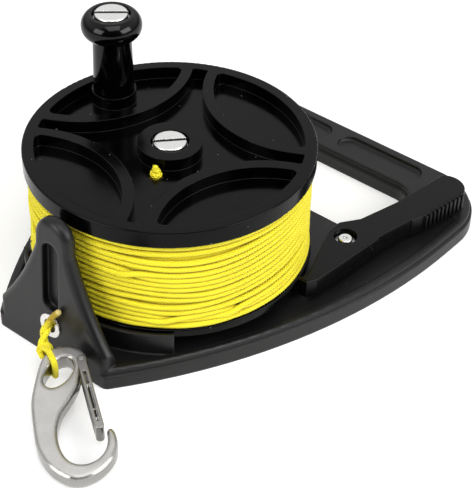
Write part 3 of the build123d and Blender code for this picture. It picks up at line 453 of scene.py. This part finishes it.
def make_gate_leaf():
    node = nodes["snap_gate"]
    places = np.array([tuple(node.matrix_world @ v.co) for v in node.data.vertices])
    corners = places / MM - GATE_HINGE
    flat = corners - np.outer(corners @ GATE_AXIS, GATE_AXIS)
    reach = np.linalg.norm(flat, axis=1)
    far = flat[reach > reach.max() - GATE_TIP_REACH].mean(axis=0)
    along = far / np.linalg.norm(far)
    across = np.cross(GATE_AXIS, along)
    length = reach.max() - LEAF_END_GAP - LEAF_START
    mesh = bmesh.new()
    rings = []
    for i in range(LEAF_STEPS + 1):
        share = i / LEAF_STEPS
        at = GATE_HINGE + along * (LEAF_START + length * share)
        bow = LEAF_BOW * math.sin(math.pi * share)
        ring = []
        for k in range(LEAF_SIDES):
            a = 2 * math.pi * (k + 0.5) / LEAF_SIDES
            place = (at + across * LEAF_HALF_WIDTH * squared(math.cos(a))
                     + GATE_AXIS * (bow + LEAF_HALF_DEPTH * squared(math.sin(a))))
            ring.append(mesh.verts.new(Vector(place) * MM))
        rings.append(ring)
    for low, high in zip(rings, rings[1:]):
        for k in range(LEAF_SIDES):
            n = (k + 1) % LEAF_SIDES
            mesh.faces.new((low[k], low[n], high[n], high[k]))
    mesh.faces.new(rings[0][::-1])
    mesh.faces.new(rings[-1])
    bmesh.ops.recalc_face_normals(mesh, faces=mesh.faces)
    data = bpy.data.meshes.new("gate_leaf")
    mesh.to_mesh(data)
    mesh.free()
    return link(bpy.data.objects.new("gate_leaf", data))


leaf = make_gate_leaf()
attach(leaf, "gate")

# Materials
EDGE_FLAT = 0.995
EDGE_ROUND = 0.93
SLOT_BLUR = 0.1 * MM
DUST = (0.6, 0.6, 0.6)
WORN_PLASTIC = (0.35, 0.35, 0.36)
# Painted shade for the floor of a screw's slot
SLOT_PAINTED_SHADE = (0.02, 0.02, 0.02)
STEEL_PIT = (0.36, 0.35, 0.33)
# Colour of the steel's painted shade and painted reflection
STEEL_PAINTED_SHADE = (0.10, 0.097, 0.092)
# Colour of the painted shade in the line's creases
LINE_CREASE_PAINTED_SHADE = (0.42, 0.27, 0.002)
CREASE_REACH = 1.3 * MM
LINE_DARKER_END = (0.38, 0.24, 0.008)
CUT_END = (0.62, 0.50, 0.16)
DARKER_END_BLEND = 3.0
CUT_END_FROM = 8.3
CUT_END_TO = 8.8
TAIL_DARKER_LENGTH = 9.0


class Nodes:
    """A node tree with short calls for the nodes used here."""

    def __init__(self, tree):
        self.tree = tree

    def add(self, kind, **settings):
        node = self.tree.nodes.new("ShaderNode" + kind)
        for key, value in settings.items():
            setattr(node, key, value)
        return node

    def join(self, source, target):
        self.tree.links.new(source, target)

    def put(self, socket, value):
        if isinstance(value, bpy.types.NodeSocket):
            self.join(value, socket)
        else:
            socket.default_value = value

    def math(self, operation, a, b=0.0):
        node = self.add("Math", operation=operation)
        self.put(node.inputs[0], a)
        self.put(node.inputs[1], b)
        return node.outputs[0]

    def place(self, scale=(1, 1, 1), turn=(0, 0, 0)):
        coordinates = self.add("TexCoord")
        mapping = self.add("Mapping")
        mapping.inputs["Scale"].default_value = scale
        mapping.inputs["Rotation"].default_value = [math.radians(x) for x in turn]
        self.join(coordinates.outputs["Object"], mapping.inputs["Vector"])
        return mapping.outputs["Vector"]

    def noise(self, scale, detail=4.0, rough=0.55, where=None):
        node = self.add("TexNoise")
        node.inputs["Scale"].default_value = scale
        node.inputs["Detail"].default_value = detail
        node.inputs["Roughness"].default_value = rough
        self.join(where or self.place(), node.inputs["Vector"])
        return node.outputs["Fac"]

    def ramp(self, value, low, high, out_low=0.0, out_high=1.0):
        node = self.add("MapRange")
        node.inputs["From Min"].default_value = low
        node.inputs["From Max"].default_value = high
        node.inputs["To Min"].default_value = out_low
        node.inputs["To Max"].default_value = out_high
        self.put(node.inputs["Value"], value)
        return node.outputs["Result"]

    def mix(self, share, a, b):
        node = self.add("Mix", data_type="RGBA")
        self.put(node.inputs["Factor"], share)
        for socket, value in ((node.inputs[6], a), (node.inputs[7], b)):
            self.put(socket, (*value, 1.0) if isinstance(value, tuple) else value)
        return node.outputs[2]

    def leaning(self, normal, direction):
        """How far a normal points in a direction: one along it, zero across it."""
        node = self.add("VectorMath", operation="DOT_PRODUCT")
        self.join(normal, node.inputs[0])
        self.put(node.inputs[1], direction)
        return node.outputs["Value"]

    def height_of(self, vector):
        node = self.add("SeparateXYZ")
        self.join(vector, node.inputs[0])
        return node.outputs[2]

    def seen_ray(self):
        """One for the rays that show the background: straight from the camera, by gloss or through glass."""
        ray = self.add("LightPath")
        seen = self.math("MAXIMUM", ray.outputs["Is Camera Ray"], ray.outputs["Is Glossy Ray"])
        return self.math("MAXIMUM", seen, ray.outputs["Is Transmission Ray"])

    def softened(self, radius):
        node = self.add("Bevel", samples=6)
        node.inputs["Radius"].default_value = radius
        return node.outputs["Normal"]

    def edge_share(self, soft):
        """How far the softened surface leans from the flat one: about one along rounded edges."""
        spot = self.add("NewGeometry")
        return self.ramp(self.leaning(soft, spot.outputs["Normal"]), EDGE_FLAT, EDGE_ROUND)

    def bump(self, height, strength, distance, below=None):
        node = self.add("Bump")
        node.inputs["Strength"].default_value = strength
        node.inputs["Distance"].default_value = distance
        self.put(node.inputs["Height"], height)
        if below:
            self.join(below, node.inputs["Normal"])
        return node.outputs["Normal"]


class Surface(Nodes):
    """A new material's node tree, with its shader."""

    def __init__(self, name):
        self.material = bpy.data.materials.new(name)
        self.material.use_nodes = True
        super().__init__(self.material.node_tree)
        self.shader = self.tree.nodes["Principled BSDF"]


def moulded_plastic(name, dark, light, rough, texture, edge, level=0.17, dust_share=0.05):
    """Black moulded plastic: softened edges, slight colour drift, fine grain, handling marks and dust."""
    m = Surface(name)
    drift = m.noise(28.0, 5.0, 0.6)
    base = m.mix(m.ramp(drift, 0.35, 0.7), dark, light)
    dust = m.ramp(m.noise(620.0, 0.0, 0.5), 0.87, 0.885)
    base = m.mix(m.math("MULTIPLY", dust, dust_share), base, DUST)
    soft = m.softened(edge)
    worn = m.edge_share(soft)
    m.join(m.mix(m.math("MULTIPLY", worn, 0.02), base, WORN_PLASTIC), m.shader.inputs["Base Color"])
    marks = m.noise(60.0, 6.0, 0.7, m.place(scale=(1.0, 6.0, 3.0), turn=(0, 0, 33)))
    patches = m.noise(16.0, 4.0, 0.55)
    shine = m.ramp(patches, 0.3, 0.7, rough - 0.04, rough + 0.05)
    m.join(m.math("ADD", m.ramp(marks, 0.5, 0.75, 0.0, 0.08), shine), m.shader.inputs["Roughness"])
    m.shader.inputs["Specular IOR Level"].default_value = level
    grain = m.noise(2600.0, 2.0, 0.5)
    swell = m.noise(95.0, 3.0, 0.5)
    under = m.bump(swell, 0.25, 0.0001, soft)
    m.join(m.bump(grain, texture, 0.00005, under), m.shader.inputs["Normal"])
    return m.material


def turned_metal(name, colour, rough, edge=0.00025, slot_below=None, lay_turn=0.0):
    """Metal with fine lines, and painted shade below the given height, as down a screw's slot."""
    m = Surface(name)
    drift = m.noise(180.0, 4.0, 0.6)
    light = tuple(min(1.0, c * 1.08) for c in colour)
    tone = m.mix(drift, colour, light)
    lines = m.noise(2200.0, 3.0, 0.6, m.place(scale=(0.06, 1.0, 1.0), turn=(0, 0, lay_turn)))
    level = m.ramp(lines, 0.3, 0.7, rough - 0.04, rough + 0.10)
    m.shader.inputs["Metallic"].default_value = 1.0
    if slot_below is not None:
        # Painted shade: below the given height, down a screw's slot, the colour goes dark and the surface
        # rougher
        spot = m.add("NewGeometry")
        deep = m.ramp(m.height_of(spot.outputs["Position"]), slot_below + SLOT_BLUR, slot_below - SLOT_BLUR)
        tone = m.mix(m.math("MULTIPLY", deep, 0.93), tone, SLOT_PAINTED_SHADE)
        level = m.math("ADD", level, m.math("MULTIPLY", deep, 0.4))
    m.join(tone, m.shader.inputs["Base Color"])
    m.join(level, m.shader.inputs["Roughness"])
    m.join(m.bump(lines, 0.10, 0.00003, m.softened(edge)), m.shader.inputs["Normal"])
    return m.material


def cast_steel(name, edge, dark, light):
    """Tumbled stainless steel: satin flats, polished rounded edges, small pits.

    Its sides are darkened as painted shade, and a line beside the rounded edges as a painted reflection, by
    which way the surface faces.
    """
    m = Surface(name)
    fine = m.noise(1400.0, 4.0, 0.6)
    cloud = m.noise(70.0, 4.0, 0.6)
    tone = m.mix(m.ramp(cloud, 0.3, 0.7), dark, light)
    tone = m.mix(m.math("MULTIPLY", m.ramp(fine, 0.66, 0.76), 0.4), tone, STEEL_PIT)
    m.shader.inputs["Metallic"].default_value = 1.0
    soft = m.softened(edge)
    level = m.math("ABSOLUTE", m.height_of(soft))
    polished = m.ramp(level, 0.95, 0.86)
    # Painted reflection: a dark line beside the rounded edges. Painted shade: darker upright sides
    beside = m.math("MULTIPLY", m.ramp(level, 0.955, 0.90), m.ramp(level, 0.74, 0.84))
    upright = m.ramp(level, 0.55, 0.20)
    shade = m.math("MAXIMUM", m.math("MULTIPLY", upright, 0.6), m.math("MULTIPLY", beside, 0.8))
    m.join(m.mix(shade, tone, STEEL_PAINTED_SHADE), m.shader.inputs["Base Color"])
    lines = m.noise(1500.0, 4.0, 0.6, m.place(scale=(1.0, 0.08, 1.0), turn=(0, 0, 50)))
    satin = m.math("ADD", m.ramp(fine, 0.3, 0.7, 0.26, 0.34), m.ramp(lines, 0.4, 0.8, 0.0, 0.08))
    m.join(m.math("SUBTRACT", satin, m.math("MULTIPLY", polished, 0.16)), m.shader.inputs["Roughness"])
    m.join(m.bump(fine, 0.08, 0.00004, m.bump(cloud, 0.2, 0.0002, soft)), m.shader.inputs["Normal"])
    return m.material


def braided_yellow(name, bright, deep, darker_from=None):
    """Braided line: crossing strands that follow the tube, darker between them and in creases as painted
    shade.

    From its last argument, a length in millimetres, it turns darker towards the end, and its cut end is
    paler.
    """
    m = Surface(name)
    coordinates = m.add("TexCoord")
    split = m.add("SeparateXYZ")
    m.join(coordinates.outputs["UV"], split.inputs[0])
    length, around = split.outputs[0], split.outputs[1]
    wave_along = m.math("COSINE", m.math("MULTIPLY", length, math.pi * MM / BRAID_HALF_PITCH))
    wave_round = m.math("COSINE", m.math("MULTIPLY", around, 2 * math.pi * BRAID_BUMPS))
    stitch = m.math("MULTIPLY", wave_along, wave_round)
    drift = m.noise(55.0, 4.0, 0.6)
    fibre = m.noise(3200.0, 3.0, 0.6)
    base = m.mix(m.ramp(drift, 0.35, 0.7), bright, tuple(c * 0.92 for c in bright))
    # Painted shade in the valleys between the braid's strands
    tone = m.mix(m.math("MULTIPLY", m.ramp(stitch, 0.15, -0.85), 0.8), base, deep)
    tone = m.mix(m.ramp(fibre, 0.55, 0.8, 0.0, 0.35), tone, deep)
    # Painted shade: darker where the surface is closed in, in creases and between touching turns
    openness = m.add("AmbientOcclusion", samples=6)
    openness.inputs["Distance"].default_value = CREASE_REACH
    tone = m.mix(m.ramp(openness.outputs["AO"], 0.72, 0.30, 0.0, 0.75), tone, LINE_CREASE_PAINTED_SHADE)
    if darker_from is not None:
        # Darker towards the end of the tail
        darker_share = m.ramp(length, darker_from, darker_from + DARKER_END_BLEND)
        tone = m.mix(m.math("MULTIPLY", darker_share, 0.9), tone, LINE_DARKER_END)
        tone = m.mix(m.ramp(length, darker_from + CUT_END_FROM, darker_from + CUT_END_TO), tone, CUT_END)
    m.join(tone, m.shader.inputs["Base Color"])
    m.shader.inputs["Roughness"].default_value = 0.55
    m.shader.inputs["Specular IOR Level"].default_value = 0.4
    m.shader.inputs["Sheen Weight"].default_value = 0.12
    m.shader.inputs["Sheen Roughness"].default_value = 0.5
    m.join(m.bump(fibre, 0.35, 0.00006, m.bump(stitch, 0.8, 0.00016)), m.shader.inputs["Normal"])
    return m.material


def wound_depth(name, bright, deep):
    """The deeper turns of line, plain enough to sit in shade, with that shade painted into their darker
    yellow.
    """
    m = Surface(name)
    drift = m.noise(400.0, 4.0, 0.6, m.place(scale=(1, 1, 3)))
    m.join(m.mix(drift, bright, deep), m.shader.inputs["Base Color"])
    m.shader.inputs["Roughness"].default_value = 0.8
    m.join(m.bump(drift, 0.4, 0.0001), m.shader.inputs["Normal"])
    return m.material


def slot_height(node_name, cut):
    """Height at a cut, in millimetres, below the highest point of a screw."""
    node = nodes[node_name]
    return max((node.matrix_world @ v.co).z for v in node.data.vertices) - cut * MM


YELLOW = (0.95, 0.86, 0.014)
# Deep yellow: painted shade between the strands, and fibre streaks
DEEP_YELLOW = (0.66, 0.46, 0.004)
free_length_mm = float(np.linalg.norm(np.diff(free_points, axis=0), axis=1).sum()) / MM
line_material = braided_yellow("line_braid", YELLOW, DEEP_YELLOW)
free_material = braided_yellow("line_braid_free", YELLOW, DEEP_YELLOW, free_length_mm - TAIL_DARKER_LENGTH)
# Painted shade: the deeper turns get a darker yellow than the line itself
deep_layers_painted_shade_material = wound_depth("line_depth_painted_shade", (0.55, 0.43, 0.01), (0.30, 0.21, 0.005))
frame_material = moulded_plastic("frame_black", (0.0042, 0.0042, 0.0045), (0.0068, 0.0068, 0.0071),
                                 0.36, 0.30, 0.0012, 0.30)
spool_material = moulded_plastic("spool_black", (0.0005, 0.0005, 0.0006), (0.0010, 0.0010, 0.0011),
                                 0.15, 0.05, 0.0005, 0.11, 0.2)
knob_material = moulded_plastic("knob_black", (0.0004, 0.0004, 0.0005), (0.0008, 0.0008, 0.0009),
                                0.12, 0.03, 0.0005, 0.22)
lever_material = moulded_plastic("lever_black", (0.0007, 0.0007, 0.0008), (0.0012, 0.0012, 0.0013),
                                 0.26, 0.12, 0.0007, 0.16)
washer_material = moulded_plastic("washer_pale", (0.55, 0.55, 0.52), (0.62, 0.62, 0.59),
                                  0.45, 0.1, 0.0001, 0.5)
nickel_material = turned_metal("nickel_plate", (0.70, 0.68, 0.65), 0.24)
steel_material = turned_metal("turned_steel", (0.56, 0.56, 0.56), 0.28)
spring_material = turned_metal("spring_wire", (0.38, 0.38, 0.39), 0.30)
brass_material = turned_metal("brass_insert", (0.70, 0.50, 0.22), 0.30)
axle_head_material = turned_metal("axle_head", (0.74, 0.74, 0.73), 0.22, 0.0004,
                                  slot_height("axle_bolt", 0.5), 42.0)
knob_head_material = turned_metal("knob_screw_head", (0.74, 0.74, 0.73), 0.22, 0.0004,
                                  slot_height("knob_screw", 0.5), 48.0)
lever_head_material = turned_metal("lever_screw_head", (0.72, 0.72, 0.71), 0.20, 0.0003,
                                   slot_height("lever_screw", 1.2))
hook_material = cast_steel("hook_steel", 0.0022, (0.50, 0.487, 0.468), (0.63, 0.617, 0.597))
gate_material = cast_steel("gate_steel", 0.0006, (0.30, 0.293, 0.283), (0.40, 0.392, 0.38))
leaf_material = turned_metal("gate_leaf_steel", (0.045, 0.045, 0.047), 0.35, 0.0001)

FINISH = {
    "frame": frame_material,
    "spool_upper": spool_material,
    "spool_lower": spool_material,
    "knob_sleeve": knob_material,
    "knob_head": knob_material,
    "brake_lever": lever_material,
    "axle_thrust_washer": washer_material,
    "guide_eyelet": nickel_material,
    "guide_eyelet_washer": nickel_material,
    "axle_bolt": axle_head_material,
    "axle_washer": steel_material,
    "axle_bush": steel_material,
    "knob_screw": knob_head_material,
    "knob_washer": steel_material,
    "knob_bush": steel_material,
    "lever_screw": lever_head_material,
    "lever_washer": steel_material,
    "lever_bush": steel_material,
    "spool_flange_screws": steel_material,
    "axle_insert": brass_material,
    "knob_insert": brass_material,
    "lever_insert": brass_material,
    "lever_spring": spring_material,
    "snap_body": hook_material,
    "snap_gate": gate_material,
    "snap_pin": steel_material,
}


def finish_with(obj, material):
    obj.data.materials.clear()
    obj.data.materials.append(material)


for node_name, material in FINISH.items():
    finish_with(nodes[node_name], material)
for piece in (knot, winding, anchor):
    finish_with(piece, line_material)
finish_with(free_line, free_material)
finish_with(leaf, leaf_material)
finish_with(deep, deep_layers_painted_shade_material)


# Stage: pale floor, grey and white surroundings, soft lamps
WORLD_LIGHT = 0.34
WORLD_LOW = 0.30
WORLD_HIGH = 1.0
WORLD_OPEN = 0.10
WALL_FOOT = 0.10
WALL_HEAD = 0.50
OPEN_SIDE = (-0.66, -0.54, 0.52)
OPEN_EDGE = 0.62
OPEN_MIDDLE = 0.86
FLOOR_HALF_SIZE = 3.0
FLOOR_DROP = 0.2 * MM
FLOOR_TONE = (0.86, 0.86, 0.86, 1)
FLOOR_GLOW = 0.30
LAMP_TARGET = Vector((0, 0, 0.03))


def make_floor():
    size = FLOOR_HALF_SIZE
    corners = [(-size, -size, 0), (size, -size, 0), (size, size, 0), (-size, size, 0)]
    mesh = bpy.data.meshes.new("floor")
    mesh.from_pydata(corners, [], [(0, 1, 2, 3)])
    floor = link(bpy.data.objects.new("floor", mesh))
    floor.location.z = -FLOOR_DROP
    m = Surface("floor_pale")
    m.shader.inputs["Base Color"].default_value = FLOOR_TONE
    m.shader.inputs["Roughness"].default_value = 0.7
    m.shader.inputs["Emission Color"].default_value = (1, 1, 1, 1)
    m.join(m.math("MULTIPLY", m.seen_ray(), FLOOR_GLOW), m.shader.inputs["Emission Strength"])
    floor.data.materials.append(m.material)


def make_world():
    """Studio walls: grey near the floor, white above, nearly dark on the open side.

    Only the rays that show the background meet them. The others find one even light.
    """
    world = bpy.data.worlds.new("world")
    scene.world = world
    world.use_nodes = True
    w = Nodes(world.node_tree)
    background = w.tree.nodes["Background"]
    background.inputs["Color"].default_value = (1, 1, 1, 1)
    direction = w.add("TexCoord").outputs["Generated"]
    wall = w.ramp(w.height_of(direction), WALL_FOOT, WALL_HEAD, WORLD_LOW, WORLD_HIGH)
    unlit = w.ramp(w.leaning(direction, OPEN_SIDE), OPEN_EDGE, OPEN_MIDDLE, 1.0, WORLD_OPEN)
    shaded = w.math("MULTIPLY", wall, unlit)
    strength = w.add("Mix")
    w.join(w.seen_ray(), strength.inputs["Factor"])
    strength.inputs["A"].default_value = WORLD_LIGHT
    w.join(shaded, strength.inputs["B"])
    w.join(strength.outputs["Result"], background.inputs["Strength"])


def soft_lamp(name, place, size, power):
    data = bpy.data.lights.new(name, "AREA")
    data.shape = "RECTANGLE"
    data.size, data.size_y = size
    data.energy = power
    lamp = link(bpy.data.objects.new(name, data))
    lamp.location = place
    towards = LAMP_TARGET - Vector(place)
    lamp.rotation_mode = "QUATERNION"
    lamp.rotation_quaternion = towards.to_track_quat("-Z", "Y")


make_floor()
make_world()
soft_lamp("lamp_top", (-0.25, -0.35, 1.20), (0.8, 0.8), 6.5)
soft_lamp("lamp_right", (0.22, -0.98, 0.62), (0.75, 0.6), 9.0)
soft_lamp("lamp_left", (-0.95, 0.18, 0.56), (0.6, 0.6), 6.0)

scene.view_settings.view_transform = "Standard"
